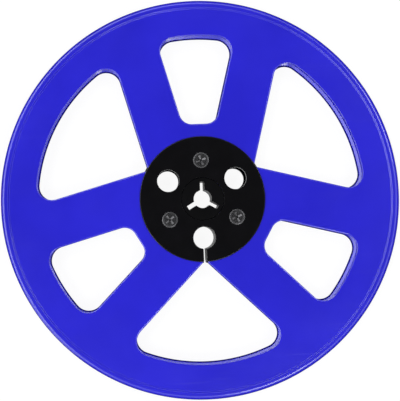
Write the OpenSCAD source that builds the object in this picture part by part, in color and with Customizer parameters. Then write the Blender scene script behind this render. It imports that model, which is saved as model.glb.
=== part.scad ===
// Open-reel audio tape spool with a small hub, built like the real one: a moulded drum that the tape
// winds on, a windowed flange and a thin hub plate on each side of it, and three screws a side.
// The reel lies on its rear hub plate, with its axis along +Z and its tape slot at -Y.
// Everything is drawn from the middle plane outwards, and the rear side mirrors the front side.

/* [Flanges] */
// Diameter over the rim
flange_d = 177.8; // [165:0.1:190]
// Thickness of the web
flange_t = 1.5; // [1.2:0.1:2]
// Clear width between the flanges, which takes 6.3 mm wide tape
tape_gap = 7.9; // [7.4:0.1:9]
// Width of the raised bead round the rim
bead_w = 3.6; // [2:0.1:5]
// Height of that bead above the web
bead_h = 0.4; // [0.2:0.05:0.8]
// Rounding of the rim's two edges
rim_round = 0.8; // [0.3:0.05:0.8]

/* [Windows] */
// Width of the ring outside the windows
ring_w = 15.2; // [12:0.1:20]
// Width of each spoke
spoke_w = 20.6; // [18:0.1:24]
// Angle between a spoke's edges and the middle line of the small window beside it
spoke_splay = 15; // [12:0.5:18]
// Distance from the axis to the point of a large window
large_tip_r = 27.3; // [26:0.1:29]
// Distance from the axis to the inner edge of a small window
small_inner_r = 33.5; // [31:0.1:40]
// Corner radius beside the ring
outer_corner_r = 6; // [3:0.1:8]
// Corner radius at the inner edge of a small window
inner_corner_r = 4.2; // [2:0.1:5.5]
// Corner radius at the point of a large window
tip_round = 1; // [0.4:0.1:2]
// Width of the chamfer that breaks the windows' edges
edge_break = 0.4; // [0.2:0.05:0.5]

/* [Hub drum] */
// Diameter of the face that the tape winds on
drum_d = 57; // [56:0.1:60]
// Thickness of the drum's outer wall
drum_wall = 2; // [1.5:0.1:2.5]
// Diameter of the centre boss that carries the flanges and hub plates
boss_d = 19.1; // [17.6:0.1:20]
// Chamfer round the boss's two ends
boss_chamfer = 0.2; // [0.1:0.05:0.3]
// Thickness of the web across the middle of the drum
web_t = 1.6; // [1.2:0.1:2.4]
// Thickness of the radial ribs and of the slot's two cheeks
rib_t = 1.4; // [1:0.1:1.8]
// How far the ribs stop short of the flanges
rib_gap = 0.4; // [0.2:0.1:1]
// Diameter of the spindle bore
spindle_d = 8.1; // [8:0.05:8.2]
// Width of each keyway
keyway_w = 2; // [1.8:0.05:2.1]
// Distance from the axis to the end of a keyway
keyway_r = 7.7; // [7:0.1:8]

/* [Finger holes and tape slot] */
// Radius of the circle that the finger holes and screws share
station_r = 17.3; // [16.8:0.1:18]
// Diameter of the finger holes
finger_d = 9.8; // [9:0.1:11]
// Wall of the tube round each finger hole
finger_wall = 1.4; // [1:0.1:1.8]
// How much wider the flange is cut round the finger holes and the slot, on each side
flange_relief = 0.3; // [0.2:0.05:0.5]
// Width of the slot that takes the end of the tape
slot_w = 1.2; // [1:0.1:2]

/* [Hub plates] */
// How far a hub plate's edge stops short of the face that the tape winds on
plate_inset = 0.5; // [0.2:0.1:1.5]
// Thickness of a hub plate
plate_t = 0.9; // [0.8:0.05:1.5]
// Chamfer round its outer edge
plate_chamfer = 0.3; // [0.1:0.05:0.5]
// Diameter of the screw cups under it, which pass through the flange
cup_d = 9.2; // [8.8:0.1:9.6]
// Radial clearance of every piece that locates on another
fit_gap = 0.1; // [0.05:0.01:0.2]
// Clearance between the bottom of a screw cup and the drum
seat_gap = 0.05; // [0.02:0.01:0.1]

/* [Screws] */
// Diameter of the head
head_d = 7; // [6.4:0.1:7.4]
// Rise of the head's crown
crown_h = 0.4; // [0.2:0.05:0.6]
// Height of the head's straight edge
head_edge = 0.25; // [0.1:0.05:0.4]
// Diameter of the neck under the head
neck_d = 3.5; // [3:0.1:4]
// Core diameter of the thread
core_d = 2.9; // [2.5:0.1:3.2]
// How deep the thread reaches into the drum
grip = 3.3; // [2.5:0.1:3.5]
// Span of the cross recess
cross_span = 4.4; // [3.6:0.1:4.6]
// Width of its wings
cross_w = 0.95; // [0.7:0.05:1.2]
// Depth of the recess under the crown
cross_depth = 1.9; // [1.2:0.1:2]
// How far each screw on a side happens to be turned
screw_turns = [20, 8, 52]; // [0:1:90]

/* [Hidden] */
$fn = 96;

flange_color = "mediumblue";
hub_color = [0.08, 0.08, 0.09];
plate_color = [0.12, 0.12, 0.13];
screw_color = [0.35, 0.35, 0.37];

// Levels above the middle plane: inner and outer face of the flange, outer face of the hub plate
inner_z = tape_gap / 2;
outer_z = inner_z + flange_t;
plate_z = outer_z + plate_t;

flange_r = flange_d / 2;
plate_d = drum_d - 2 * plate_inset;
window_r = flange_r - ring_w;
overcut = 1;
// Largest turn between two points of a window's corner
corner_angle_step = 7.5;
// How far the chamfers' cutters rise above a flange's face
face_margin = 0.1;

// Directions of the finger holes, the screws and the two kinds of window
finger_angles = [30, 150, 270];
screw_angles = [90, 210, 330];
large_angles = finger_angles;
small_angles = screw_angles;
rib_angles = concat(finger_angles, screw_angles);
slot_angle = 270;

// A spoke's edges are parallel, so the two kinds of window share its direction and width
large_half = 60 - spoke_splay;
small_tip_r = (spoke_w - large_tip_r * sin(large_half)) / sin(spoke_splay);

// Width of the tape slot through a flange
flange_slot_w = slot_w + 2 * flange_relief;

// Centres of the corners next to the hub
tip_centre = [edge_base(large_tip_r, large_half, tip_round), 0];
corner_centre = inner_centre(small_tip_r, spoke_splay, small_inner_r, inner_corner_r);

// Screw head: a shallow crown, a straight edge and a 45 degree cone down to the neck
crown_r = (pow(head_d / 2, 2) + pow(crown_h, 2)) / (2 * crown_h);
cone_h = (head_d - neck_d) / 2;
pilot_d = core_d + fit_gap;
thread_tip_h = 0.8;

// Places the children in front of the middle plane, which lies at half the height, or behind it
module on_front() translate([0, 0, plate_z]) children();
module on_rear() translate([0, 0, plate_z]) mirror([0, 0, 1]) children();

// Places the children at one station of the hub, or at each angle of a list
module at_station(angle) rotate(angle) translate([station_r, 0, 0]) children();
module at_stations(angles) for (a = angles) at_station(a) children();

// A radial slot from the lower finger hole out past the radius reach
module slot_shape(width, reach)
    rotate(slot_angle) translate([station_r, -width / 2]) square([reach - station_r, width]);

// Centre of a corner radius r between a window's slanted edge and the ring
function edge_base(tip, half, r) = tip + r / sin(half);
function outer_run(tip, half, r) =
    let (a = edge_base(tip, half, r))
    sqrt(pow(window_r - r, 2) - pow(a * sin(half), 2)) - a * cos(half);
function outer_centre(tip, half, r) =
    let (a = edge_base(tip, half, r), s = outer_run(tip, half, r))
    [a + s * cos(half), s * sin(half)];
// Centre of a corner radius r between a window's slanted edge and its straight inner edge
function inner_centre(tip, half, inner, r) =
    [inner + r, (inner + r - edge_base(tip, half, r)) * tan(half)];

// Points round a corner, from one direction to another
function corner(centre, r, from, to) =
    let (steps = ceil(abs(to - from) / corner_angle_step))
    [for (i = [0 : steps]) let (a = from + (to - from) * i / steps) centre + r * [cos(a), sin(a)]];

// Where the line through two points meets the X axis
function meets_axis(p, q) = [p[0] - p[1] * (q[0] - p[0]) / (q[1] - p[1]), 0];

// Upper half of a window's outline, about the X axis: round the corner next to the hub, up the slanted
// edge and round the outer corner, whose last side runs on past the ring to the axis. Grown outwards by
// some width, it keeps its corners' centres.
function upper_outline(tip, half, hub_centre, hub_r, grown) =
    let (ring_centre = outer_centre(tip, half, outer_corner_r),
         ring_angle = atan2(ring_centre[1], ring_centre[0]),
         last = corner(ring_centre, outer_corner_r + grown, 90 + half, ring_angle),
         n = len(last))
    concat(corner(hub_centre, hub_r + grown, 180, 90 + half),
           [for (i = [0 : n - 2]) last[i]],
           [meets_axis(last[n - 2], last[n - 1])]);
function large_upper(grown) = upper_outline(large_tip_r, large_half, tip_centre, tip_round, grown);
function small_upper(grown) = upper_outline(small_tip_r, spoke_splay, corner_centre, inner_corner_r, grown);

// The whole outline from its upper half
function closed_outline(upper) =
    concat(upper, [for (i = [len(upper) - 1 : -1 : 0]) if (upper[i][1] > 0) [upper[i][0], -upper[i][1]]]);

// A window straight through the flange. The ring's circle trims its outline between the outer corners.
module window_hole(upper) {
    translate([0, 0, inner_z - overcut]) linear_extrude(flange_t + 2 * overcut) intersection() {
        circle(window_r, $fn = 240);
        polygon(closed_outline(upper));
    }
}

// What the chamfer takes away round a window at z = 0: a frustum that widens upwards, from the outline at
// the chamfer's foot to the one a little above the face
module window_chamfer(foot_upper, top_upper) {
    foot = closed_outline(foot_upper);
    top = closed_outline(top_upper);
    n = len(foot);
    height = edge_break + face_margin;
    intersection() {
        translate([0, 0, -edge_break]) cylinder(h = height, r1 = window_r, r2 = window_r + height, $fn = 240);
        polyhedron(
            points = concat([for (p = foot) [p[0], p[1], -edge_break]],
                            [for (p = top) [p[0], p[1], face_margin]]),
            faces = concat([[for (i = [0 : n - 1]) n - 1 - i]], [[for (i = [0 : n - 1]) n + i]],
                           [for (i = [0 : n - 1]) [i, (i + 1) % n, n + (i + 1) % n, n + i]]));
    }
}

// Both chamfers of one window, on the flange's outer face and on its inner one
module window_chamfers(foot_upper, top_upper) {
    translate([0, 0, outer_z]) window_chamfer(foot_upper, top_upper);
    translate([0, 0, inner_z]) mirror([0, 0, 1]) window_chamfer(foot_upper, top_upper);
}

// Half section of the flange without its cuts: web, bead and two round rim edges
module flange_section() {
    bore_r = boss_d / 2 + fit_gap;
    top = outer_z + bead_h;
    edge = flange_r - rim_round;
    polygon([
        [bore_r, inner_z], [edge, inner_z], [flange_r, inner_z + rim_round],
        [flange_r, top - rim_round], [edge, top],
        [flange_r - bead_w + bead_h, top], [flange_r - bead_w, outer_z], [bore_r, outer_z]
    ]);
    for (z = [inner_z + rim_round, top - rim_round]) translate([edge, z]) circle(rim_round);
}

module flange_half() {
    top_growth = edge_break + face_margin;
    difference() {
        rotate_extrude($fn = 240) flange_section();
        for (a = large_angles) rotate(a) {
            window_hole(large_upper(0));
            window_chamfers(large_upper(0), large_upper(top_growth));
        }
        for (a = small_angles) rotate(a) {
            window_hole(small_upper(0));
            window_chamfers(small_upper(0), small_upper(top_growth));
        }
        translate([0, 0, inner_z - overcut]) linear_extrude(flange_t + 2 * overcut) {
            at_stations(finger_angles) circle(finger_d / 2 + flange_relief);
            at_stations(screw_angles) circle(cup_d / 2 + fit_gap);
            slot_shape(flange_slot_w, large_tip_r + tip_round + flange_slot_w);
        }
    }
}

// Sunk seat for one screw, from the plate's face down: the crown's recess, the cone and the neck hole
module screw_seat() {
    recess = crown_h + head_edge;
    cone_z = plate_z - recess;
    translate([0, 0, cone_z]) cylinder(h = recess + overcut, d = head_d + 2 * fit_gap);
    translate([0, 0, cone_z - cone_h])
        cylinder(h = cone_h, d1 = neck_d + 2 * fit_gap, d2 = head_d + 2 * fit_gap);
    translate([0, 0, inner_z - overcut]) cylinder(h = plate_z - inner_z, d = neck_d + 2 * fit_gap);
}

module plate_half() {
    chamfer_z = plate_z - plate_chamfer;
    difference() {
        union() {
            translate([0, 0, outer_z]) cylinder(h = plate_t - plate_chamfer, d = plate_d, $fn = 180);
            translate([0, 0, chamfer_z])
                cylinder(h = plate_chamfer, d1 = plate_d, d2 = plate_d - 2 * plate_chamfer, $fn = 180);
            at_stations(screw_angles) translate([0, 0, inner_z + seat_gap])
                cylinder(h = flange_t - seat_gap + plate_t / 2, d = cup_d);
        }
        translate([0, 0, inner_z]) linear_extrude(plate_z - inner_z + overcut) {
            circle(boss_d / 2 + fit_gap);
            at_stations(finger_angles) circle(d = finger_d);
            slot_shape(slot_w, plate_d / 2 + overcut);
        }
        at_stations(screw_angles) screw_seat();
    }
}

module screw_half(turn) {
    edge_z = plate_z - crown_h - head_edge;
    difference() {
        union() {
            intersection() {
                translate([0, 0, edge_z]) cylinder(h = crown_h + head_edge, d = head_d);
                translate([0, 0, plate_z - crown_r]) sphere(crown_r);
            }
            translate([0, 0, edge_z - cone_h]) cylinder(h = cone_h, d1 = neck_d, d2 = head_d);
            translate([0, 0, inner_z - grip + thread_tip_h])
                cylinder(h = edge_z - cone_h - inner_z + grip - thread_tip_h, d = core_d);
            translate([0, 0, inner_z - grip]) cylinder(h = thread_tip_h, d1 = core_d / 3, d2 = core_d);
        }
        for (wing = [0, 90]) translate([0, 0, plate_z]) rotate([90, 0, turn + wing])
            linear_extrude(cross_w, center = true)
                polygon([
                    [-cross_span / 2, 0], [-cross_span / 4, -cross_depth],
                    [cross_span / 4, -cross_depth], [cross_span / 2, 0],
                    [cross_span / 2, overcut], [-cross_span / 2, overcut]
                ]);
    }
}

// Spindle bore with its three keyways
module spindle_shape() {
    circle(d = spindle_d);
    for (a = screw_angles) rotate(a) translate([0, -keyway_w / 2]) square([keyway_r, keyway_w]);
}

module hub_drum() color(hub_color) translate([0, 0, plate_z]) difference() {
    wall_inner = drum_d / 2 - drum_wall;
    rib_h = tape_gap - 2 * rib_gap;
    union() {
        difference() {
            cylinder(h = tape_gap, d = drum_d, center = true, $fn = 180);
            cylinder(h = tape_gap + overcut, r = wall_inner, center = true, $fn = 180);
        }
        cylinder(h = 2 * (plate_z - boss_chamfer), d = boss_d, center = true);
        for (end = [0, 1]) mirror([0, 0, end]) translate([0, 0, plate_z - boss_chamfer])
            cylinder(h = boss_chamfer, d1 = boss_d, d2 = boss_d - 2 * boss_chamfer);
        cylinder(h = web_t, r = wall_inner + drum_wall / 2, center = true, $fn = 180);
        at_stations(screw_angles) cylinder(h = tape_gap, d = cup_d, center = true);
        at_stations(finger_angles) cylinder(h = tape_gap, d = finger_d + 2 * finger_wall, center = true);
        for (a = rib_angles) rotate(a) translate([boss_d / 4, -rib_t / 2, -rib_h / 2])
            cube([wall_inner + drum_wall / 2 - boss_d / 4, rib_t, rib_h]);
        linear_extrude(tape_gap, center = true)
            slot_shape(slot_w + 2 * rib_t, wall_inner + drum_wall / 2);
    }
    linear_extrude(2 * plate_z + overcut, center = true) {
        spindle_shape();
        at_stations(finger_angles) circle(d = finger_d);
        at_stations(screw_angles) circle(d = pilot_d);
        slot_shape(slot_w, drum_d / 2 + overcut);
    }
}

module front_flange() color(flange_color) on_front() flange_half();
module rear_flange() color(flange_color) on_rear() flange_half();
module front_hub_plate() color(plate_color) on_front() plate_half();
module rear_hub_plate() color(plate_color) on_rear() plate_half();
module front_screw(i) color(screw_color) on_front() at_station(screw_angles[i]) screw_half(screw_turns[i]);
module rear_screw(i) color(screw_color) on_rear() at_station(screw_angles[i]) screw_half(-screw_turns[i]);

hub_drum();
front_flange();
rear_flange();
front_hub_plate();
rear_hub_plate();
front_screw(0);  // front_screw_top
front_screw(1);  // front_screw_left
front_screw(2);  // front_screw_right
rear_screw(0);  // rear_screw_top
rear_screw(1);  // rear_screw_left
rear_screw(2);  // rear_screw_right
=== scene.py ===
"""Empty open-reel tape spool with a small hub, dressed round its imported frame.

The reel lies flat, with its axis along +Z. Its front and rear sides mirror each other about the middle
plane, so every moulded piece is worked out once, at heights above that plane, and made for both sides.
"""

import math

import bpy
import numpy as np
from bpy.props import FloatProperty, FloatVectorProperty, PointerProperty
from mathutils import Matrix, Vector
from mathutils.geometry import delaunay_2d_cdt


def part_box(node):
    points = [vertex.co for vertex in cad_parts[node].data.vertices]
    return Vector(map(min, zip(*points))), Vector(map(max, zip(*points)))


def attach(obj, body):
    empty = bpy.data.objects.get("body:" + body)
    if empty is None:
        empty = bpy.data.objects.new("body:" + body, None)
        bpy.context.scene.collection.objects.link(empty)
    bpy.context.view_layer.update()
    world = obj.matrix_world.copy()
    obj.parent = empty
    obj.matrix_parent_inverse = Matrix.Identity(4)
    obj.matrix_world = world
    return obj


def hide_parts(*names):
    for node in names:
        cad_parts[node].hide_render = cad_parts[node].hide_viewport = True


bl_info = {
    "name": "Audio Tape Reel",
    "version": (1, 0, 0),
    "blender": (4, 5, 0),
    "location": "3D View > Sidebar > Tape Reel",
    "description": "Moulded flanges, hub plates, drum and screws of an empty tape reel",
    "category": "Add Mesh",
}

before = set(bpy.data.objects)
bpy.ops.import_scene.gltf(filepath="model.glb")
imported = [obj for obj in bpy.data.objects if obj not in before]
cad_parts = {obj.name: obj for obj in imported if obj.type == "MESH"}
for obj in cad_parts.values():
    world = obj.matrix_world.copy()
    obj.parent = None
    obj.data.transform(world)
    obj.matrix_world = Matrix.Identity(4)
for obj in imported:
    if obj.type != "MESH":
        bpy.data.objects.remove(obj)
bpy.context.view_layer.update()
BODY = "root"

MM = 0.001
MICRON = 0.000001
# Largest turn between two points of a hole or corner, of an arc round the axis, and of a section's corner
ARC_STEP = math.radians(4)
RIM_STEP = math.radians(0.75)
EDGE_STEP = math.radians(6)
# Points nearer than these are one: in an outline or a section, and in a triangulated face
SAME_POINT = 1e-7
SAME_CORNER = 1e-9
# Least angle between two faces of a screw that shows as an edge
SHARP_EDGE = math.radians(32)

# Directions of the finger holes and large windows: two plain ones, and the one with the slot
PLAIN_ANGLES = [math.radians(30), math.radians(150)]
SLOT_ANGLE = math.radians(270)
# Directions of the screws and small windows
SCREW_ANGLES = {"top": math.radians(90), "left": math.radians(210), "right": math.radians(330)}
# Angle from each large window to the small one next to it
WINDOW_STEP = math.radians(60)
# How far each screw's cross is turned from the line to the axis
SCREW_TURNS = {"top": math.radians(20), "left": math.radians(8), "right": math.radians(52)}
SIDES = {"front": 1, "rear": -1}

# Places that the frame gives: heights are above the middle plane
DRUM_LOW, DRUM_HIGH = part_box("hub_drum")
FLANGE_LOW, FLANGE_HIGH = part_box("front_flange")
PLATE_LOW, PLATE_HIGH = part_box("front_hub_plate")
SCREW_LOW, SCREW_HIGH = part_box("front_screw_top")
MIDDLE = (DRUM_LOW.z + DRUM_HIGH.z) / 2
RIM_RADIUS = FLANGE_HIGH.y
INNER_FACE = FLANGE_LOW.z - MIDDLE
BEAD_TOP = FLANGE_HIGH.z - MIDDLE
PLATE_RADIUS = PLATE_HIGH.y
PLATE_TOP = PLATE_HIGH.z - MIDDLE
CUP_BOTTOM = PLATE_LOW.z - MIDDLE
SCREW_TIP = SCREW_LOW.z - MIDDLE
STATION_RADIUS = (SCREW_LOW.y + SCREW_HIGH.y) / 2

PLASTIC_IOR = 1.5
# Reflections of a plain face, and the steepness from which a dull face loses them
PLAIN_SPECULAR = 0.5
DULL_FROM = 0.3
# Values between which nearly all of a noise lies
NOISE_REACH = (0.3, 0.7)
# The drum is rubbed round the axis, and on the slot's side of it. Each zone fades out between two distances.
RUBBED_BORE = (8 * MM, 8.5 * MM)
RUBBED_BESIDE_SLOT = (6 * MM, 6.5 * MM)
RUBBED_ALONG_SLOT = (-11 * MM, -10.5 * MM)
# How much the bore is rubbed, against the slot
BORE_SHARE = 0.35
# Where steep edges get painted shade and lose their reflections, and tape-side facets get painted light: at
# the rim this fades in between these distances from the axis, and on the tape side over this depth
RIM_FADE = (RIM_RADIUS - 2.5 * MM, RIM_RADIUS - 2 * MM)
TAPE_SIDE_FADE = (0.5 * MM, 2 * MM)
# Directions of the handling scratches, the stretch of the noise that makes them, and their peaks in it
SCRATCH_TURNS = (math.radians(20), math.radians(112))
SCRATCH_STRETCH = (25, 1500, 25)
SCRATCH_PEAKS = (0.68, 0.76)

# Each lamp's azimuth and elevation in degrees, width and height in metres, and radiance
LAMPS = {
    "low_lamp": (218, 34, 0.3, 0.4, 3.0),
    "near_lamp": (298, 64, 0.2, 0.12, 10.0),
    "right_lamp": (22, 59, 0.2, 0.12, 7.0),
}
LAMP_DISTANCE = 0.9
FLOOR_REACH = 4.0
# What the camera sees of the floor: mostly a glow of its own, and a share of the light that reaches it
FLOOR_GLOW = 0.92
FLOOR_SHADE = 0.1
SENSOR_WIDTH = 36
NEAR_CLIP = 0.01
# The hole in the room's light, and the ring's two edges beside it as cosines to the hole's middle
HOLE_DIRECTION = Vector((0.03, 0.07, 1)).normalized()
SOFT_EDGE = (0.985, 0.945)
FIRM_EDGE = (0.945, 0.915)
# Share of the ring's light that the soft edge reaches
SOFT_SHARE = 0.1
# The ring's stronger sides, and the cosines between which each fades in
KEY_DIRECTION = (-0.9, 0.44, 0)
KEY_FADE = (-0.1, 0.3)
FILL_DIRECTION = (0.97, 0.26, 0)
FILL_FADE = (0.2, 0.4)
# Sines of the elevations between which the ring starts, and up to which the walls change
RING_START = (0.8, 0.86)
WALLS_END = 0.7


def length(name, millimetres, description):
    """A length property with its default in millimetres"""
    return FloatProperty(
        name=name, description=description, default=millimetres * MM, min=0, precision=5, unit="LENGTH"
    )


def angle(name, degrees, description):
    """An angle property with its default in degrees"""
    return FloatProperty(
        name=name, description=description, default=math.radians(degrees), precision=2, unit="ROTATION"
    )


def colour(name, default, description):
    """A colour property"""
    return FloatVectorProperty(
        name=name, description=description, default=default, size=3, min=0, max=1, subtype="COLOR"
    )


def share(name, default, description):
    """A property for a share, from 0 to 1"""
    return FloatProperty(
        name=name, description=description, default=default, min=0, max=1, subtype="FACTOR"
    )


def light(name, default, description):
    """A property for the strength of a light, where 1 is white"""
    return FloatProperty(name=name, description=description, default=default, min=0)


class FlangeSizes(bpy.types.PropertyGroup):
    """Sizes of a moulded flange"""

    thickness: length("Thickness", 1.5, "Thickness of the web")
    ring_width: length("Ring width", 15.45, "Width of the ring outside the windows")
    spoke_width: length("Spoke width", 20.8, "Width of each spoke")
    splay: angle("Splay", 15, "Angle between a spoke's edges and the small window's middle line")
    large_tip: length("Large window's tip", 27.3, "Distance from the axis to a large window's point")
    small_inner: length("Small window's edge", 33.6, "Distance from the axis to a small window's inner edge")
    outer_corner: length("Outer corners", 6.5, "Corner radius beside the ring")
    inner_corner: length("Inner corners", 5.6, "Corner radius at a small window's inner edge")
    tip_corner: length("Tip corner", 1, "Corner radius at a large window's point")
    bead_width: length("Bead width", 3.75, "Width of the raised bead round the rim")
    bead_slope: length("Bead's slope", 0.85, "Width of the slope up to the bead's top")
    bead_foot: length("Bead's foot", 0.7, "Rounding where the bead meets the web")
    bead_shoulder: length("Bead's shoulder", 0.9, "Rounding of the bead's inner edge")
    rim_width: length("Rim, width", 1.9, "Width of the rounding of the rim's outer edge")
    rim_depth: length("Rim, depth", 0.7, "Depth of that rounding")
    rim_inner: length("Rim, tape side", 0.5, "Rounding of the rim's edge on the tape side")
    shoulder_width: length("Shoulder's width", 0.45, "Width of the shoulder round the windows on the outside")
    shoulder_depth: length("Shoulder's depth", 0.155, "Depth of that shoulder")
    shoulder_round: length("Shoulder's rounding", 2.0, "Rounding between the face and the shoulder")
    shoulder_edge: length("Shoulder's edge", 0.15, "Rounding between the shoulder and the window")
    facet_inner: length("Facet's start", 0.5, "Distance from a window to its facet on the tape side")
    facet_outer: length("Facet's end", 1.8, "Distance from a window to the end of that facet")
    facet_slope: angle("Facet's slope", 19, "Slope of the facet")
    facet_steep: angle("Edge's slope", 47, "Slope between the window and the facet")
    facet_round: length("Facet's rounding", 0.8, "Rounding of the facet's edges")
    facet_lead: length("Facet's lead", 0.06, "Depth of the facet's end below the face on the tape side")
    wall_foot: length("Wall's foot", 0.1, "Rounding between a window's wall and its slanted edge")
    slot_width: length("Slot", 1.5, "Width of the slot through the flange")
    slot_mouth: length("Slot's mouth", 0.1, "How much more the mouth's rounding is than the edge's width")
    slot_share: share("Slot's edge", 0.15, "Share of the windows' edge that the slot keeps")
    finger_radius: length("Finger holes", 5.2, "Radius of the finger holes in the flange")
    bore_radius: length("Bore", 9.65, "Radius of the hole round the drum's boss")
    cup_radius: length("Cup holes", 4.7, "Radius of the holes for the hub plate's screw cups")
    hole_edge: length("Holes' edges", 0.2, "Rounding of the edges of the holes round the hub")


class HubSizes(bpy.types.PropertyGroup):
    """Sizes of a hub plate and its screws"""

    thickness: length("Thickness", 0.9, "Thickness of the hub plate")
    slot_width: length("Slot", 1.2, "Width of the slot for the end of the tape")
    slot_mouth: length("Slot's mouth", 0.5, "Rounding where the slot opens at the plate's edge")
    slot_end: length("Slot's end", 0.3, "Rounding where the slot meets the finger hole")
    finger_radius: length("Finger holes", 4.9, "Radius of the finger holes in the plate")
    bore_radius: length("Bore", 9.65, "Radius of the hole round the drum's boss")
    edge: length("Edges", 0.06, "Rounding of the holes' edges")
    inner_edge: length("Inner edges", 0.05, "Rounding of the edges that lie on the flange")
    cup_edge: length("Cups' edges", 0.04, "Rounding of the edges inside the seats and of the cups")
    rim: length("Rim", 0.3, "Rounding of the plate's outer edge")
    cup_radius: length("Cups", 4.6, "Outer radius of the screw cups under the plate")
    seat_radius: length("Screw seats", 3.6, "Radius of a sunk screw seat")
    seat_depth: length("Seat depth", 0.65, "Depth of a seat above its cone")
    neck_radius: length("Neck holes", 1.85, "Radius of the hole for a screw's neck")
    head_radius: length("Screw heads", 3.5, "Radius of a screw's head")
    crown: length("Crown", 0.15, "Rise of a head's middle above its edge")
    head_edge: length("Head's edge", 0.25, "Height of a head's straight edge")
    head_round: length("Head's rounding", 0.12, "Rounding between a head's crown and its edge")
    tip: length("Screw tips", 0.8, "Height of the taper that ends a screw")
    screw_neck: length("Screw necks", 1.75, "Radius of a screw's neck")
    core: length("Core", 1.45, "Radius of a thread's core")
    ridge: length("Ridge", 0.2, "Height of a thread's ridge")
    pitch: length("Pitch", 1.1, "Pitch of a thread")
    cross_span: length("Cross span", 4.4, "Span of a head's cross recess")
    cross_width: length("Cross width", 0.95, "Width of the recess' wings")
    cross_depth: length("Cross depth", 1.6, "Depth of the pit in the middle of the recess")
    cross_pit: length("Cross pit", 0.6, "Radius of that pit")
    cross_floor: angle("Cross floor", 17, "Slope of the wings' floors towards the pit")


class Finishes(bpy.types.PropertyGroup):
    """Colours of the reel's materials"""

    flange: colour("Flange", (0.0245, 0.021, 0.68), "Glossy blue of the flanges")
    flange_deep: colour("Flange, deep", (0.0195, 0.0165, 0.6), "Deeper blue that clouds the flanges")
    # Painted light: a lighter blue put on the tape side's slanted facets, where the other flange shades them
    flange_facet_painted_light: colour("Flange, facets", (0.026, 0.023, 0.96), "Fresher blue of the slanted facets")
    # Painted shade: the dark blue put on the flanges' steep edges at the rim and on the tape side
    flange_edge_painted_shade: colour("Flange, edges", (0.005, 0.004, 0.19), "Dark blue of the flanges' steep edges")
    plate: colour("Hub plate", (0.0017, 0.0016, 0.0024), "Black of the hub plates")
    drum: colour("Drum", (0.0018, 0.0018, 0.0024), "Black of the drum")
    steel: colour("Screws", (0.072, 0.072, 0.076), "Dulled steel of the screws")


class Studio(bpy.types.PropertyGroup):
    """The camera and the lights"""

    distance: length("Camera distance", 424.5, "Distance from the camera to the rear flange's face")
    offset_x: length("Offset across", 0.49, "How far the reel lies from the middle of the view, across")
    offset_y: length("Offset up", 0.35, "How far the reel lies from the middle of the view, upwards")
    pitch: angle("Pitch", -1.76, "Turn of the view about its horizontal axis")
    yaw: angle("Yaw", 3.67, "Turn of the view about its vertical axis")
    roll: angle("Roll", 2.61, "Turn of the view about its line of sight")
    lens: FloatProperty(name="Lens", description="Focal length in mm", default=83.6, unit="CAMERA")
    floor_tone: share("Floor", 0.8, "Share of the light that the floor sends back")
    key_light: light("Key light", 6.0, "The room's ring of light towards the far left")
    ring_light: light("Ring of light", 1.7, "The rest of that ring")
    fill_light: light("Fill light", 1.15, "What the ring has more towards the right")
    low_walls: light("Walls, low", 0.26, "The room's walls at the floor")
    high_walls: light("Walls, high", 0.08, "The walls higher up")


def arc(centre, radius, start, end, step=ARC_STEP):
    """Points round an arc, and at each the direction into the material.

    Formula: centre + |radius| (cos a, sin a), with a from start to end in even steps. The direction is
    (cos a, sin a) times the radius' sign, so a negative radius has its centre in the material.
    """
    count = max(1, math.ceil(abs(end - start) / step)) + 1
    turn = np.linspace(start, end, count)
    out = np.column_stack([np.cos(turn), np.sin(turn)])
    return np.asarray(centre) + abs(radius) * out, math.copysign(1, radius) * out


def circle(centre, radius, step=ARC_STEP):
    """A closed circle, as arc() gives it"""
    points, into = arc(centre, radius, 0, 2 * math.pi, step)
    return points[:-1], into[:-1]


def mirrored(arcs):
    """A closed outline from the arcs of its upper half, which runs from the X axis back to it.

    Formula: the arcs' points in turn, then the same points backwards with y turned over. Straight
    sides are the steps between arcs. A point that repeats the one before it is dropped.
    """
    flip = np.array([1, -1])
    points = np.concatenate([points for points, _ in arcs])
    into = np.concatenate([into for _, into in arcs])
    points = np.concatenate([points, points[::-1] * flip])
    into = np.concatenate([into, into[::-1] * flip])
    fresh = np.linalg.norm(points - np.roll(points, 1, axis=0), axis=1) > SAME_POINT
    return points[fresh], into[fresh]


def turned(path, turn):
    """A path turned about the reel's axis"""
    cos, sin = math.cos(turn), math.sin(turn)
    spin = np.array([[cos, sin], [-sin, cos]])
    return path[0] @ spin, path[1] @ spin


def unit(vectors):
    """Vectors brought to length 1"""
    return vectors / np.linalg.norm(vectors, axis=-1, keepdims=True)


def square_to(vectors):
    """Unit vectors at right angles to the given ones, on their right"""
    return unit(np.column_stack([vectors[:, 1], -vectors[:, 0]]))


def section(corners, roundings):
    """A section's line of (depth, height) points with round corners, and its outward normals.

    A rounding is a radius, or a width and a height where it is oval. Formula: the line is divided by
    the rounding's two sizes, which makes its radius 1. Between sides whose right-hand normals are a and
    b, the arc's centre is then corner - s (a + b) / (1 + a.b), and its points are centre + s n, with n
    turning from a to b. s is 1 where the line turns left, round an outer corner, and -1 where it turns
    right. The points are multiplied by the two sizes again, and the normals n divided by them.
    """
    corners = np.array(corners, float)
    sides = square_to(np.diff(corners, axis=0))
    points, normals = [corners[:1]], [sides[:1]]
    for i, rounding in enumerate(roundings):
        sizes = np.broadcast_to(rounding, 2)
        along = np.diff(corners[i:i + 3] / sizes, axis=0)
        before, after = square_to(along)
        s = math.copysign(1, np.cross(*along))
        start = math.atan2(before[1], before[0])
        turn = math.remainder(math.atan2(after[1], after[0]) - start, 2 * math.pi)
        count = max(2, math.ceil(abs(turn) / EDGE_STEP) + 1)
        at = np.linspace(start, start + turn, count)
        normal = np.column_stack([np.cos(at), np.sin(at)])
        centre = corners[i + 1] / sizes - s * (before + after) / (1 + before @ after)
        points.append((centre + s * normal) * sizes)
        normals.append(unit(normal / sizes))
    points = np.concatenate(points + [corners[-1:]])
    normals = np.concatenate(normals + [sides[-1:]])
    fresh = np.append(True, np.linalg.norm(np.diff(points, axis=0), axis=1) > SAME_POINT)
    return points[fresh], normals[fresh]


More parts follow.
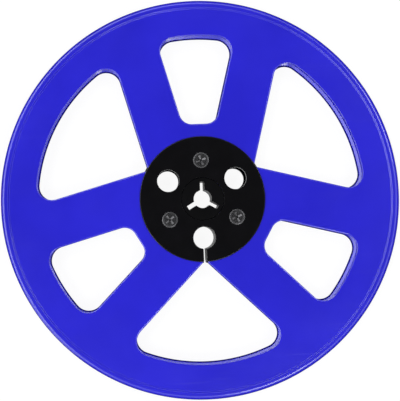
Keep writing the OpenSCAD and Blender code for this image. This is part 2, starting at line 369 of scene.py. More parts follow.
def flat_face(vertices, loops):
    """Triangles of a flat face between closed loops of vertices, anticlockwise from above.

    Formula: a Delaunay triangulation along the loops, of which a triangle is kept where a line from
    its middle towards +X crosses the loops an odd number of times.
    """
    order = np.concatenate(loops)
    ahead = np.concatenate([np.roll(loop, -1) for loop in loops])
    place = np.argsort(order)
    onward = place[np.searchsorted(order, ahead, sorter=place)]
    edges = np.column_stack([np.arange(len(order)), onward])
    flat = vertices[order, :2]
    inside_outline = 1
    _, _, made, sources, _, _ = delaunay_2d_cdt(
        flat.tolist(), edges.tolist(), [], inside_outline, SAME_CORNER
    )
    source = np.array([old[0] for old in sources])
    triangles = source[np.array(made)]
    a, b, c = (flat[triangles[:, k]] for k in range(3))
    clockwise = np.cross(b - a, c - a) < 0
    triangles[clockwise] = triangles[clockwise][:, ::-1]

    middle = ((a + b + c) / 3)[:, None]
    from_point, to_point = flat[None], flat[None, onward]
    straddles = (from_point[..., 1] > middle[..., 1]) != (to_point[..., 1] > middle[..., 1])
    upwards = to_point[..., 1] > from_point[..., 1]
    on_left = np.cross(to_point - from_point, middle - from_point) > 0
    crossings = (straddles & (on_left == upwards)).sum(axis=1)
    return order[triangles[crossings % 2 == 1]]


def smooth_mesh(name, vertices, faces, side):
    """A smooth mesh. Its faces are given as for the front side, and turned round for the rear one."""
    mesh = bpy.data.meshes.new(name)
    mesh.from_pydata(vertices.tolist(), [], sum((f[:, ::side].tolist() for f in faces), []))
    mesh.polygons.foreach_set("use_smooth", np.ones(len(mesh.polygons), bool))
    return mesh


def moulded_mesh(name, walls, side):
    """A flat moulded piece with a wall round its outline and round each hole.

    Formula: each wall carries a section along a path, so its vertex (i, j) is path point i moved by
    the section's depth j into the material, at height j above the middle plane. Flat faces join the
    walls' first rows and last rows. On the rear side, heights are turned over.
    """
    vertices, normals, quads, first, last = [], [], [], [], []
    start = 0
    for (points, into), (line, facing) in walls:
        shape = (len(points), len(line))
        grid = np.empty(shape + (3,))
        grid[..., :2] = points[:, None] + into[:, None] * line[None, :, :1]
        grid[..., 2] = line[None, :, 1]
        normal = np.empty(shape + (3,))
        normal[..., :2] = into[:, None] * facing[None, :, :1]
        normal[..., 2] = facing[None, :, 1]
        index = start + np.arange(shape[0] * shape[1]).reshape(shape)
        onward = np.roll(index, -1, axis=0)
        faces = np.stack([index[:, :-1], onward[:, :-1], onward[:, 1:], index[:, 1:]], -1).reshape(-1, 4)
        material_on_left = np.cross(np.roll(points, -1, axis=0) - points, into).sum() > 0
        quads.append(faces[:, ::-1] if material_on_left else faces)
        vertices.append(grid.reshape(-1, 3))
        normals.append(normal.reshape(-1, 3))
        first.append(index[:, 0])
        last.append(index[:, -1])
        start += index.size
    vertices = np.concatenate(vertices)
    normals = np.concatenate(normals)
    faces = [np.concatenate(quads), flat_face(vertices, first), flat_face(vertices, last)[:, ::-1]]
    vertices[:, 2] = MIDDLE + side * vertices[:, 2]
    normals[:, 2] *= side
    mesh = smooth_mesh(name, vertices, faces, side)
    mesh.normals_split_custom_set_from_vertices(normals.tolist())
    return mesh


def window_edge(sizes):
    """Distances from a window to where the tape side's plain face starts, and to its section's end"""
    face_start = sizes.facet_outer + sizes.facet_round / 2
    return face_start, face_start + sizes.facet_round


def window_paths(sizes):
    """The windows' outlines: three large and three small, with the slot and its finger hole.

    Formula: a slanted edge leaves the X axis at the tip, at the half angle. A corner of radius r
    between it and the ring has its centre at r from the edge and at the ring's inner radius - r from
    the axis. One between the slot and a slanted edge has it in the material, at r from both. Inside the slot
    the direction into the material is shortened, which makes the section narrower.
    """
    ring = RIM_RADIUS - sizes.ring_width
    large_half = WINDOW_STEP - sizes.splay
    small_tip = (sizes.spoke_width - sizes.large_tip * math.sin(large_half)) / math.sin(sizes.splay)

    def base(tip, half, r):
        """Where a line at r inside the slanted edge leaves the X axis"""
        return tip + r / math.sin(half)

    def outer(tip, half):
        """The ring's arc from the X axis on, and the corner after it"""
        r = sizes.outer_corner
        foot = base(tip, half, r)
        run = math.sqrt((ring - r) ** 2 - (foot * math.sin(half)) ** 2) - foot * math.cos(half)
        centre = (foot + run * math.cos(half), run * math.sin(half))
        turn = math.atan2(centre[1], centre[0])
        return [arc((0, 0), ring, 0, turn, RIM_STEP), arc(centre, r, turn, math.pi / 2 + half)]

    def hub_corner(centre, r, half):
        """The corner from the slanted edge round to the side nearest the hub"""
        return [arc(centre, r, math.pi / 2 + half, math.pi)]

    r = sizes.tip_corner
    large = outer(sizes.large_tip, large_half)
    plain = mirrored(large + hub_corner((base(sizes.large_tip, large_half, r), 0), r, large_half))
    r = sizes.inner_corner
    x = sizes.small_inner + r
    y = (x - base(small_tip, sizes.splay, r)) * math.tan(sizes.splay)
    small = mirrored(outer(small_tip, sizes.splay) + hub_corner((x, y), r, sizes.splay))

    r = window_edge(sizes)[1] + sizes.slot_mouth
    y = sizes.slot_width / 2 + r
    x = sizes.large_tip + (y * math.cos(large_half) - r) / math.sin(large_half)
    mouth = [arc((x, y), -r, large_half - math.pi / 2, -math.pi / 2)]
    slotted = mirrored(large + mouth + slot_to_finger_hole(sizes.slot_width, sizes.finger_radius, r))
    reach = np.linalg.norm(slotted[0], axis=1)
    slot_end = STATION_RADIUS + sizes.finger_radius
    narrowed = np.interp(reach, [slot_end, sizes.large_tip], [sizes.slot_share, 1])
    slotted = (slotted[0], slotted[1] * narrowed[:, None])
    paths = [turned(plain, a) for a in PLAIN_ANGLES] + [turned(slotted, SLOT_ANGLE)]
    return paths + [turned(small, a) for a in SCREW_ANGLES.values()]


def slot_to_finger_hole(width, radius, rounding):
    """The upper half of a slot's end: a round corner into the finger hole, then the hole's own arc.

    Formula: the corner's centre is at width / 2 + rounding from the slot's middle line and at
    radius + rounding from the finger hole's centre.
    """
    y = width / 2 + rounding
    run = math.sqrt((radius + rounding) ** 2 - y ** 2)
    corner = arc((STATION_RADIUS + run, y), -rounding, -math.pi / 2, math.atan2(-y, -run))
    return [corner, arc((STATION_RADIUS, 0), radius, math.atan2(y, run), math.pi)]


def edge_section(top, bottom, top_round, bottom_round):
    """Section of a plain wall from the upper face to the lower one, with both its edges round"""
    corners = [(top_round, top), (0, top), (0, bottom), (bottom_round, bottom)]
    return section(corners, [top_round, bottom_round])


def equal_holes(radius, angles, line):
    """Walls of equal round holes that stand as far from the axis as the screws do"""
    outline = circle((STATION_RADIUS, 0), radius)
    return [(turned(outline, a), line) for a in angles]


def flange_walls(sizes):
    """Every wall of a flange: rim and bead, windows, and the holes round the hub.

    Formula: a window's section goes over a shallow shoulder on the outside, down the wall, and out over
    a steep edge and a flatter facet to the face on the tape side. Going back from that face, the facet
    and the steep edge each rise by their width times the tangent of their slope.
    """
    outer_face = INNER_FACE + sizes.thickness
    rim = section(
        [
            (sizes.bead_width + sizes.bead_foot, outer_face), (sizes.bead_width, outer_face),
            (sizes.bead_width - sizes.bead_slope, BEAD_TOP), (0, BEAD_TOP), (0, INNER_FACE),
            (sizes.rim_inner, INNER_FACE),
        ],
        [sizes.bead_foot, sizes.bead_shoulder, (sizes.rim_width, sizes.rim_depth), sizes.rim_inner],
    )
    face_start, section_end = window_edge(sizes)
    rise = sizes.facet_lead + (sizes.facet_outer - sizes.facet_inner) * math.tan(sizes.facet_slope)
    steep_rise = rise + sizes.facet_inner * math.tan(sizes.facet_steep)
    window = section(
        [
            (sizes.shoulder_width + sizes.facet_round, outer_face), (sizes.shoulder_width, outer_face),
            (0, outer_face - sizes.shoulder_depth), (0, INNER_FACE + steep_rise),
            (sizes.facet_inner, INNER_FACE + rise), (sizes.facet_outer, INNER_FACE + sizes.facet_lead),
            (face_start, INNER_FACE), (section_end, INNER_FACE),
        ],
        [sizes.shoulder_round, sizes.shoulder_edge, sizes.wall_foot] + [sizes.facet_round] * 3,
    )
    hole = edge_section(outer_face, INNER_FACE, sizes.hole_edge, sizes.hole_edge)
    walls = [(circle((0, 0), -RIM_RADIUS, RIM_STEP), rim)]
    walls += [(path, window) for path in window_paths(sizes)]
    walls.append((circle((0, 0), sizes.bore_radius), hole))
    walls += equal_holes(sizes.finger_radius, PLAIN_ANGLES, hole)
    return walls + equal_holes(sizes.cup_radius, SCREW_ANGLES.values(), hole)


def plate_walls(sizes):
    """Every wall of a hub plate: rim with the slot, finger holes, bore, and the seats in their cups.

    Formula: the slot's mouth is a round corner with its centre at width / 2 + r from the slot's middle
    line and at the plate's radius - r from the axis. A seat goes straight down, inwards over a cone of
    45 degrees, down the neck hole, and back up outside its cup.
    """
    face = PLATE_TOP - sizes.thickness
    rim = edge_section(PLATE_TOP, face, sizes.rim, sizes.inner_edge)
    hole = edge_section(PLATE_TOP, face, sizes.edge, sizes.inner_edge)
    r = sizes.slot_mouth
    y = sizes.slot_width / 2 + r
    turn = math.asin(y / (PLATE_RADIUS - r))
    centre = ((PLATE_RADIUS - r) * math.cos(turn), y)
    outline = [arc((0, 0), -PLATE_RADIUS, math.pi, turn, RIM_STEP), arc(centre, -r, turn, -math.pi / 2)]
    outline += slot_to_finger_hole(sizes.slot_width, sizes.finger_radius, sizes.slot_end)
    walls = [(turned(mirrored(outline), SLOT_ANGLE), rim), (circle((0, 0), sizes.bore_radius), hole)]
    walls += equal_holes(sizes.finger_radius, PLAIN_ANGLES, hole)

    cone_top = PLATE_TOP - sizes.seat_depth
    neck = sizes.neck_radius - sizes.seat_radius
    wall = sizes.cup_radius - sizes.seat_radius
    seat = section(
        [
            (sizes.edge, PLATE_TOP), (0, PLATE_TOP), (0, cone_top), (neck, cone_top + neck),
            (neck, CUP_BOTTOM), (wall, CUP_BOTTOM), (wall, face), (wall + sizes.edge, face),
        ],
        [sizes.edge] + [sizes.cup_edge] * 5,
    )
    return walls + equal_holes(sizes.seat_radius, SCREW_ANGLES.values(), seat)


def recess_depth(x, y, sizes):
    """Depth of the cross recess at points of the head.

    Formula: a wing is as deep as the lesser of its floor's slope, from its end inwards, and its side's
    steep slope. The recess is the deepest of two wings that cross and the pit in their middle.
    """
    side_slope, pit_slope = 4, 5
    floor = math.tan(sizes.cross_floor)

    def wing(along, across):
        """Depth of one wing, which may be below 0 outside it"""
        to_floor = (sizes.cross_span / 2 - abs(along)) * floor
        return np.minimum(to_floor, (sizes.cross_width / 2 - abs(across)) * side_slope)

    pit = np.minimum((sizes.cross_pit - np.hypot(x, y)) * pit_slope, sizes.cross_depth)
    return np.maximum.reduce([wing(x, y), wing(y, x), pit, np.zeros_like(x)])


def screw_mesh(name, sizes, place, turn, side):
    """A screw with a raised countersunk head, from the middle of its crown to its tip.

    Formula: a surface of turning over (t, phi), where t runs along the half section. The crown falls
    off with the sixth power of the radius, less the cross recess, and on the shank the radius gains a
    ridge that falls off from the helix z = -pitch phi / 2 pi. The head's rounding has one point between
    its ends, at 0.3 of its size from either side.
    """
    around, over_crown, per_pitch = 160, 56, 12
    crown_power, ridge_slope, tip_share = 6, 4, 1 / 3
    phi = np.arange(around) * 2 * math.pi / around
    halfway = 0.3 * sizes.head_round
    crown_rho = np.linspace(0, sizes.head_radius - sizes.head_round, over_crown)
    crown_z = PLATE_TOP - sizes.crown * (crown_rho / sizes.head_radius) ** crown_power
    edge_low = PLATE_TOP - sizes.crown - sizes.head_edge
    neck_z = edge_low - (sizes.head_radius - sizes.screw_neck)
    thread_z = np.arange(INNER_FACE, SCREW_TIP + sizes.tip, -sizes.pitch / per_pitch)
    lower_rho = [sizes.head_radius - halfway, sizes.head_radius, sizes.head_radius, sizes.screw_neck]
    lower_z = [crown_z[-1] - halfway, crown_z[-1] - sizes.head_round, edge_low, neck_z]
    end_rho = [sizes.core * tip_share, 0]
    rho = np.concatenate([crown_rho, lower_rho, np.full(len(thread_z), sizes.core), end_rho])
    z = np.concatenate([crown_z, lower_z, thread_z, [SCREW_TIP, SCREW_TIP]])

    grid_rho = np.repeat(rho[:, None], around, axis=1)
    grid_z = np.repeat(z[:, None], around, axis=1)
    from_ridge = (grid_z / sizes.pitch + phi / (2 * math.pi) + 0.5) % 1 - 0.5
    ridge = np.clip(1 - abs(from_ridge) * ridge_slope, 0, 1) * sizes.ridge
    on_thread = (z < INNER_FACE - sizes.pitch / 2) & (rho == sizes.core)
    grid_rho += np.where(on_thread[:, None], ridge, 0)
    x, y = grid_rho * np.cos(phi), grid_rho * np.sin(phi)
    grid_z[:over_crown] -= recess_depth(x[:over_crown], y[:over_crown], sizes)

    cos, sin = math.cos(turn), math.sin(turn)
    x, y = place[0] + cos * x - sin * y, place[1] + sin * x + cos * y
    rows = np.stack([x, y, MIDDLE + side * grid_z], -1)
    vertices = np.concatenate([rows[:1, 0], rows[1:-1].reshape(-1, 3), rows[-1:, 0]])
    index = 1 + np.arange((len(z) - 2) * around).reshape(-1, around)
    onward = np.roll(index, -1, axis=1)
    quads = np.stack([index[:-1], index[1:], onward[1:], onward[:-1]], -1).reshape(-1, 4)
    crown_fan = np.column_stack([np.zeros(around, int), index[0], onward[0]])
    tip_fan = np.column_stack([np.full(around, len(vertices) - 1), onward[-1], index[-1]])
    mesh = smooth_mesh(name, vertices, (quads, crown_fan, tip_fan), side)
    mesh.set_sharp_from_angle(angle=SHARP_EDGE)
    return mesh


def put(tree, kind, inputs=None, **settings):
    """Adds a node. An input given as another node's output is linked, and any other is set."""
    node = tree.nodes.new(kind)
    for name, value in settings.items():
        setattr(node, name, value)
    for name, value in (inputs or {}).items():
        if isinstance(value, bpy.types.NodeSocket):
            tree.links.new(value, node.inputs[name])
        else:
            node.inputs[name].default_value = value
    return node


def start_material(name):
    """An empty material: its tree, its output node and the piece's own coordinates"""
    material = bpy.data.materials.new(name)
    material.use_nodes = True
    tree = material.node_tree
    tree.nodes.clear()
    return material, tree, put(tree, "ShaderNodeTexCoord").outputs["Object"]


def noise(tree, coords, scale, detail=2.0, stretch=None, turn=0.0):
    """A noise texture's value, on coordinates that may be stretched and turned"""
    if stretch:
        mapping = put(
            tree, "ShaderNodeMapping",
            {"Vector": coords, "Rotation": (0, 0, turn), "Scale": stretch},
        )
        coords = mapping.outputs["Vector"]
    inputs = {"Vector": coords, "Scale": scale, "Detail": detail}
    return put(tree, "ShaderNodeTexNoise", inputs).outputs["Fac"]


def spread(tree, value, low, high, to_low, to_high):
    """A value carried from one range to another, and held inside it"""
    inputs = {"Value": value, "From Min": low, "From Max": high, "To Min": to_low, "To Max": to_high}
    return put(tree, "ShaderNodeMapRange", inputs).outputs["Result"]


def up_to(tree, value, most):
    """A value from 0 to 1 made one from 0 to most"""
    return spread(tree, value, 0, 1, 0, most)


def patches(tree, coords, scale, detail, start, full):
    """Patches where a noise is strong: 0 up to its value start, and 1 from its value full on"""
    return spread(tree, noise(tree, coords, scale, detail), start, full, 0, 1)


def uneven(tree, coords, scale, detail, least, most):
    """A roughness that varies over the surface"""
    return spread(tree, noise(tree, coords, scale, detail), *NOISE_REACH, least, most)


def worked_out(tree, operation, *values):
    """What a Math node makes of its values"""
    return put(tree, "ShaderNodeMath", dict(enumerate(values)), operation=operation).outputs[0]


def plus(tree, a, b):
    """The sum of two values"""
    return worked_out(tree, "ADD", a, b)


def times(tree, a, b):
    """The product of two values"""
    return worked_out(tree, "MULTIPLY", a, b)


def towards(tree, facing, direction):
    """The cosine between the direction that a ray faces and a fixed one, or its reach along that one"""
    inputs = {0: facing, 1: tuple(direction)}
    return put(tree, "ShaderNodeVectorMath", inputs, operation="DOT_PRODUCT").outputs["Value"]


def blend_colours(tree, factor, a, b):
    """A colour between a and b, which are colours or other nodes' outputs.

    The Mix node keeps its colours in its inputs 6 and 7, and the result in its output 2.
    """
    ends = [end if isinstance(end, bpy.types.NodeSocket) else (*end, 1) for end in (a, b)]
    node = put(tree, "ShaderNodeMix", {0: factor, 6: ends[0], 7: ends[1]}, data_type="RGBA")
    return node.outputs[2]


def upright(tree):
    """How far the surface's normal points up, from -1 to 1"""
    normal = put(tree, "ShaderNodeNewGeometry").outputs["Normal"]
    return put(tree, "ShaderNodeSeparateXYZ", {"Vector": normal}).outputs["Z"]


def steepness(tree, steepest=0.7, flattest=0.97):
    """How steep the surface is, from the normal's Z: 1 up to steepest, and 0 from flattest on.

    As given, a face is level up to 14 degrees and steep from 45 degrees.
    """
    return spread(tree, worked_out(tree, "ABSOLUTE", upright(tree)), steepest, flattest, 1, 0)


def tape_side(tree, coords):
    """1 on faces that point towards the tape, which lies about the middle plane, and 0 on others.

    Formula: the depth below the middle plane times the normal's Z is above 0 on such faces.
    """
    height = put(tree, "ShaderNodeSeparateXYZ", {"Vector": coords}).outputs["Z"]
    below = worked_out(tree, "SUBTRACT", MIDDLE, height)
    return spread(tree, times(tree, below, upright(tree)), *TAPE_SIDE_FADE, 0, 1)


def from_axis(tree, coords):
    """The distance from the reel's axis"""
    flat = put(tree, "ShaderNodeVectorMath", {0: coords, 1: (1, 1, 0)}, operation="MULTIPLY").outputs[0]
    return put(tree, "ShaderNodeVectorMath", {0: flat}, operation="LENGTH").outputs["Value"]


def at_rim(tree, coords):
    """1 on the bead's outer part and the rim, and 0 inside them"""
    return spread(tree, from_axis(tree, coords), *RIM_FADE, 0, 1)


def rubbed(tree, coords):
    """1 round the slot, where the tape's end rubs the drum, less in the spindle's bore, and 0 elsewhere"""
    bore = spread(tree, from_axis(tree, coords), *RUBBED_BORE, BORE_SHARE, 0)
    parts = put(tree, "ShaderNodeSeparateXYZ", {"Vector": coords}).outputs
    beside_slot = spread(tree, worked_out(tree, "ABSOLUTE", parts["X"]), *RUBBED_BESIDE_SLOT, 1, 0)
    near_slot = times(tree, beside_slot, spread(tree, parts["Y"], *RUBBED_ALONG_SLOT, 1, 0))
    return worked_out(tree, "MAXIMUM", bore, near_slot)


def bump(tree, height, distance, normal=None):
    """A bump of a real height, on top of another one"""
    inputs = {"Height": height, "Distance": distance, "Strength": 1.0}
    if normal:
        inputs["Normal"] = normal
    return put(tree, "ShaderNodeBump", inputs).outputs["Normal"]


def grain(tree, coords, scale, detail, depth, normal=None, stretch=None):
    """A noise as a bump of a real depth, on top of another one"""
    return bump(tree, noise(tree, coords, scale, detail, stretch), depth, normal)


def dull_where(tree, steep):
    """The level of the reflections, which fades out where the surface is steep"""
    return spread(tree, steep, DULL_FROM, 1, PLAIN_SPECULAR, 0)


def tinted(base, factor):
    """A colour made lighter or darker"""
    return [channel * factor for channel in base]


def finish_material(tree, inputs):
    """Ends a material in a Principled shader"""
    shader = put(tree, "ShaderNodeBsdfPrincipled", inputs)
    put(tree, "ShaderNodeOutputMaterial", {"Surface": shader.outputs["BSDF"]})


def hairlines(tree, coords):
    """Fine handling scratches in two directions, which are the peaks of noise stretched along each"""
    lines = [
        spread(tree, noise(tree, coords, 1, 1.0, SCRATCH_STRETCH, turn), *SCRATCH_PEAKS, 0, 1)
        for turn in SCRATCH_TURNS
    ]
    return plus(tree, *lines)


def flange_material(finishes):
    """Glossy blue moulded plastic: faint clouds of a deeper blue, a soft ripple and hairlines.

    The steep edges of the rim and of the tape side are dull and carry painted shade, a darker blue.
    The slanted facets on the tape side carry painted light, a lighter blue where the other flange shades
    them.
    """
    material, tree, coords = start_material("flange_blue")
    inside = tape_side(tree, coords)
    # Rim and tape side: where steep faces get painted shade and lose their reflections
    dull_and_painted_shade_places = worked_out(tree, "MAXIMUM", inside, at_rim(tree, coords))
    steep = times(tree, steepness(tree), dull_and_painted_shade_places)
    # Painted light: tape-side facets made a lighter blue, where the other flange shades them
    painted_light_on_facet = times(tree, inside, steepness(tree, steepest=0.96, flattest=0.99))
    clouds = patches(tree, coords, scale=30, detail=3.0, start=0.35, full=0.65)
    face = blend_colours(tree, clouds, finishes.flange, finishes.flange_deep)
    face = blend_colours(tree, painted_light_on_facet, face, finishes.flange_facet_painted_light)

    lines = hairlines(tree, coords)
    dulled = plus(tree, up_to(tree, lines, most=0.06), up_to(tree, steep, most=0.2))
    gloss = uneven(tree, coords, scale=55, detail=4.0, least=0.11, most=0.16)
    ripple = grain(tree, coords, scale=260, detail=1.0, depth=12 * MICRON)
    peel = grain(tree, coords, scale=1500, detail=2.0, depth=3 * MICRON, normal=ripple)
    finish_material(tree, {
        # Painted shade: steep edges blended to a dark blue
        "Base Color": blend_colours(tree, steep, face, finishes.flange_edge_painted_shade),
        "Roughness": plus(tree, gloss, dulled),
        "Specular IOR Level": dull_where(tree, steep),
        "Normal": bump(tree, lines, -MICRON, peel),
        "IOR": PLASTIC_IOR,
    })
    return material


def plate_material(finishes):
    """Black hub plate: satin plastic with a fine grain and faint rubbed patches"""
    material, tree, coords = start_material("plate_black")
    worn = patches(tree, coords, scale=120, detail=5.0, start=0.45, full=0.75)
    satin = grain(tree, coords, scale=4200, detail=2.0, depth=3 * MICRON)
    finish_material(tree, {
        "Base Color": blend_colours(tree, worn, finishes.plate, tinted(finishes.plate, 1.6)),
        "Roughness": uneven(tree, coords, scale=200, detail=4.0, least=0.09, most=0.13),
        "Normal": bump(tree, hairlines(tree, coords), -MICRON, satin),
        "IOR": PLASTIC_IOR,
    })
    return material


def drum_material(finishes):
    """Black drum: smooth moulded plastic with faint lines round it, and dull walls that shine where rubbed"""
    material, tree, coords = start_material("drum_black")
    clouds = patches(tree, coords, scale=90, detail=3.0, start=0.35, full=0.65)
    gloss = uneven(tree, coords, scale=300, detail=3.0, least=0.09, most=0.13)
    steep = steepness(tree)
    shine = times(tree, rubbed(tree, coords), spread(tree, steep, DULL_FROM, 1, 0, 0.2))
    bands = grain(tree, coords, scale=1, detail=2.0, depth=2 * MICRON, stretch=(60, 60, 2600))
    finish_material(tree, {
        "Base Color": blend_colours(tree, clouds, finishes.drum, tinted(finishes.drum, 1.5)),
        "Roughness": plus(tree, gloss, up_to(tree, steep, most=0.3)),
        "Specular IOR Level": plus(tree, shine, dull_where(tree, steep)),
        "Normal": grain(tree, coords, scale=3000, detail=2.0, depth=2 * MICRON, normal=bands),
        "IOR": PLASTIC_IOR,
    })
    return material


def steel_material(finishes):
    """Plated steel: fine tooling marks and small dull spots"""
    material, tree, coords = start_material("screw_steel")
    spots = patches(tree, coords, scale=1800, detail=3.0, start=0.5, full=0.72)
    finish_material(tree, {
        "Base Color": blend_colours(tree, spots, finishes.steel, tinted(finishes.steel, 0.55)),
        "Metallic": 1.0,
        "Roughness": uneven(tree, coords, scale=2600, detail=3.0, least=0.2, most=0.34),
        "Normal": grain(tree, coords, scale=5200, detail=2.0, depth=4 * MICRON),
    })
    return material


def add_object(context, name, data):
    """Adds an object for a mesh, a lamp or a camera to the scene"""
    made = bpy.data.objects.new(name, data)
    context.scene.collection.objects.link(made)
    return made


def add_piece(context, mesh, material, node):
    """Shows a mesh in place of one CAD node, with that node's body and material slot"""
    piece = add_object(context, mesh.name, mesh)
    mesh.materials.append(material)
    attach(piece, BODY)
    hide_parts(node)


class MakeFlanges(bpy.types.Operator):
    """Make the two windowed flanges, each with a raised bead round its rim"""

    bl_idname = "tape_reel.flanges"
    bl_label = "Flanges"

    def execute(self, context):
        material = flange_material(context.scene.reel_finishes)
        walls = flange_walls(context.scene.reel_flange)
        for name, side in SIDES.items():
            mesh = moulded_mesh(f"{name}_flange_moulding", walls, side)
            add_piece(context, mesh, material, f"{name}_flange")
        return {"FINISHED"}


class MakeHubPlates(bpy.types.Operator):
    """Make the two hub plates, with their finger holes, tape slot and sunk screw seats"""

    bl_idname = "tape_reel.hub_plates"
    bl_label = "Hub plates"

    def execute(self, context):
        material = plate_material(context.scene.reel_finishes)
        walls = plate_walls(context.scene.reel_hub)
        for name, side in SIDES.items():
            mesh = moulded_mesh(f"{name}_hub_plate_moulding", walls, side)
            add_piece(context, mesh, material, f"{name}_hub_plate")
        return {"FINISHED"}


class MakeScrews(bpy.types.Operator):
    """Make the three cross-recess screws of each side"""

    bl_idname = "tape_reel.screws"
    bl_label = "Screws"

    def execute(self, context):
        material = steel_material(context.scene.reel_finishes)
        for name, side in SIDES.items():
            for place, angle_at in SCREW_ANGLES.items():
                centre = STATION_RADIUS * np.array([math.cos(angle_at), math.sin(angle_at)])
                turn = angle_at + side * SCREW_TURNS[place]
                node = f"{name}_screw_{place}"
                mesh = screw_mesh(f"{node}_threaded", context.scene.reel_hub, centre, turn, side)
                add_piece(context, mesh, material, node)
        return {"FINISHED"}


class FinishDrum(bpy.types.Operator):
    """Give the ribbed drum its black plastic"""

    bl_idname = "tape_reel.drum"
    bl_label = "Drum"

    def execute(self, context):
        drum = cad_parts["hub_drum"]
        drum.data.materials.clear()
        drum.data.materials.append(drum_material(context.scene.reel_finishes))
        return {"FINISHED"}


def floor_material(tone):
    """A white floor that keeps a faint shadow.

    Diffuse rays meet plain white paint. Camera, glossy and transmission rays see a floor that mostly
    glows, so it shows as white however the lamps are set.
    """
    material, tree, _ = start_material("floor_white")
    path = put(tree, "ShaderNodeLightPath")
    seen = plus(tree, path.outputs["Is Camera Ray"], path.outputs["Is Glossy Ray"])
    seen = plus(tree, seen, path.outputs["Is Transmission Ray"])
    paint = put(tree, "ShaderNodeBsdfDiffuse", {"Color": (tone, tone, tone, 1)})
    shaded = put(tree, "ShaderNodeBsdfDiffuse", {"Color": (FLOOR_SHADE, FLOOR_SHADE, FLOOR_SHADE, 1)})
    glow = put(tree, "ShaderNodeEmission", {"Color": (1, 1, 1, 1), "Strength": FLOOR_GLOW})
    both = put(tree, "ShaderNodeAddShader", {0: shaded.outputs[0], 1: glow.outputs[0]})
    mix = put(tree, "ShaderNodeMixShader", {0: seen, 1: paint.outputs[0], 2: both.outputs[0]})
    put(tree, "ShaderNodeOutputMaterial", {"Surface": mix.outputs[0]})
    return material


def studio_world(studio):
    """A dim room with a pale ring of light high up, as in a tent with a hole for the camera.

    The ring is strongest towards the far left, and the hole lies a little towards the far side. The
    ring's edge beside it is soft inside and firm outside. Camera rays see plain white.
    """
    world = bpy.data.worlds.new("studio_room")
    world.use_nodes = True
    tree = world.node_tree
    tree.nodes.clear()
    facing = put(tree, "ShaderNodeTexCoord").outputs["Generated"]
    height = put(tree, "ShaderNodeSeparateXYZ", {"Vector": facing}).outputs["Z"]
    hole = towards(tree, facing, HOLE_DIRECTION)
    soft_edge = spread(tree, hole, *SOFT_EDGE, 0, SOFT_SHARE)
    firm_edge = spread(tree, hole, *FIRM_EDGE, 0, 1 - SOFT_SHARE)
    above_walls = spread(tree, height, *RING_START, 0, 1)
    key = towards(tree, facing, KEY_DIRECTION)
    key = spread(tree, key, *KEY_FADE, studio.ring_light, studio.key_light)
    fill = spread(tree, towards(tree, facing, FILL_DIRECTION), *FILL_FADE, 0, studio.fill_light)
    ring = times(tree, plus(tree, soft_edge, firm_edge), above_walls)
    ring = times(tree, ring, plus(tree, key, fill))
    walls = spread(tree, height, 0, WALLS_END, studio.low_walls, studio.high_walls)
    seen = put(tree, "ShaderNodeLightPath").outputs["Is Camera Ray"]
    strength = worked_out(tree, "MAXIMUM", plus(tree, ring, walls), seen)
    background = put(tree, "ShaderNodeBackground", {"Color": (1, 1, 1, 1), "Strength": strength})
    put(tree, "ShaderNodeOutputWorld", {"Surface": background.outputs[0]})
    return world


def softbox(context, name, azimuth, elevation, width, height, radiance):
    """A rectangular lamp that faces the reel. Formula: power = radiance times pi times area."""
    lamp = bpy.data.lights.new(name, "AREA")
    lamp.shape = "RECTANGLE"
    lamp.size, lamp.size_y = width, height
    lamp.energy = radiance * math.pi * width * height
    azimuth, elevation = math.radians(azimuth), math.radians(elevation)
    flat = math.cos(elevation)
    away = Vector((flat * math.cos(azimuth), flat * math.sin(azimuth), math.sin(elevation)))
    stand = add_object(context, name, lamp)
    stand.rotation_euler = away.to_track_quat("Z", "Y").to_euler()
    stand.location = away * LAMP_DISTANCE
    stand.visible_camera = False


def add_floor(context, tone):
    """The square floor that the reel lies on"""
    reach = FLOOR_REACH
    corners = [(-reach, -reach, 0), (reach, -reach, 0), (reach, reach, 0), (-reach, reach, 0)]
    mesh = bpy.data.meshes.new("floor")
    mesh.from_pydata(corners, [], [(0, 1, 2, 3)])
    mesh.materials.append(floor_material(tone))
    floor = add_object(context, "floor", mesh)


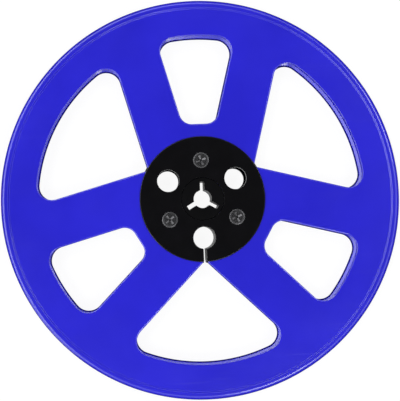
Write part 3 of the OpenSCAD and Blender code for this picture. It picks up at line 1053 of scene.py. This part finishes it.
def add_camera(context, studio, thickness):
    """The camera, turned about the middle of the rear flange's outer face.

    Formula: in the camera's own axes, the reel is turned by roll, then yaw, then pitch. So the camera's
    axes are the transpose of that turn, and it stands at (-offset, -offset, distance) along them.
    """
    turn = (
        Matrix.Rotation(studio.pitch, 3, "X")
        @ Matrix.Rotation(studio.yaw, 3, "Y")
        @ Matrix.Rotation(studio.roll, 3, "Z")
    ).transposed()
    camera = bpy.data.cameras.new("camera")
    camera.lens = studio.lens
    camera.sensor_fit = "HORIZONTAL"
    camera.sensor_width = SENSOR_WIDTH
    camera.clip_start = NEAR_CLIP
    stand = add_object(context, "camera", camera)
    rear_flange = MIDDLE - INNER_FACE - thickness
    place = turn @ Vector((-studio.offset_x, -studio.offset_y, studio.distance))
    stand.matrix_world = Matrix.Translation(place + Vector((0, 0, rear_flange))) @ turn.to_4x4()
    context.scene.camera = stand


class MakeStudio(bpy.types.Operator):
    """Make the floor, the room, the lamps and the camera"""

    bl_idname = "tape_reel.studio"
    bl_label = "Studio"

    def execute(self, context):
        scene, studio = context.scene, context.scene.reel_studio
        add_floor(context, studio.floor_tone)
        scene.world = studio_world(studio)
        for name, values in LAMPS.items():
            softbox(context, name, *values)
        add_camera(context, studio, scene.reel_flange.thickness)
        scene.view_settings.view_transform = "Standard"
        return {"FINISHED"}


class TapeReelPanel(bpy.types.Panel):
    """The reel's sizes, colours and steps"""

    bl_idname = "VIEW3D_PT_tape_reel"
    bl_label = "Tape Reel"
    bl_space_type = "VIEW_3D"
    bl_region_type = "UI"
    bl_category = "Tape Reel"

    def draw(self, context):
        for step in STEPS:
            self.layout.operator(step.bl_idname)
        for group_name, group in GROUPS.items():
            box = self.layout.box()
            for name in group.__annotations__:
                box.prop(getattr(context.scene, group_name), name)


GROUPS = {"reel_flange": FlangeSizes, "reel_hub": HubSizes, "reel_finishes": Finishes, "reel_studio": Studio}
STEPS = [MakeStudio, MakeFlanges, FinishDrum, MakeHubPlates, MakeScrews]


def register():
    """Register the classes and hang the property groups on the scene"""
    for cls in (*GROUPS.values(), *STEPS, TapeReelPanel):
        bpy.utils.register_class(cls)
    for name, group in GROUPS.items():
        setattr(bpy.types.Scene, name, PointerProperty(type=group))


def unregister():
    """Undo register()"""
    for name in GROUPS:
        delattr(bpy.types.Scene, name)
    for cls in reversed((*GROUPS.values(), *STEPS, TapeReelPanel)):
        bpy.utils.unregister_class(cls)


def main():
    """Make the scene step by step"""
    register()
    bpy.ops.tape_reel.studio()
    bpy.ops.tape_reel.flanges()
    bpy.ops.tape_reel.drum()
    bpy.ops.tape_reel.hub_plates()
    bpy.ops.tape_reel.screws()


if __name__ == "__main__":
    main()
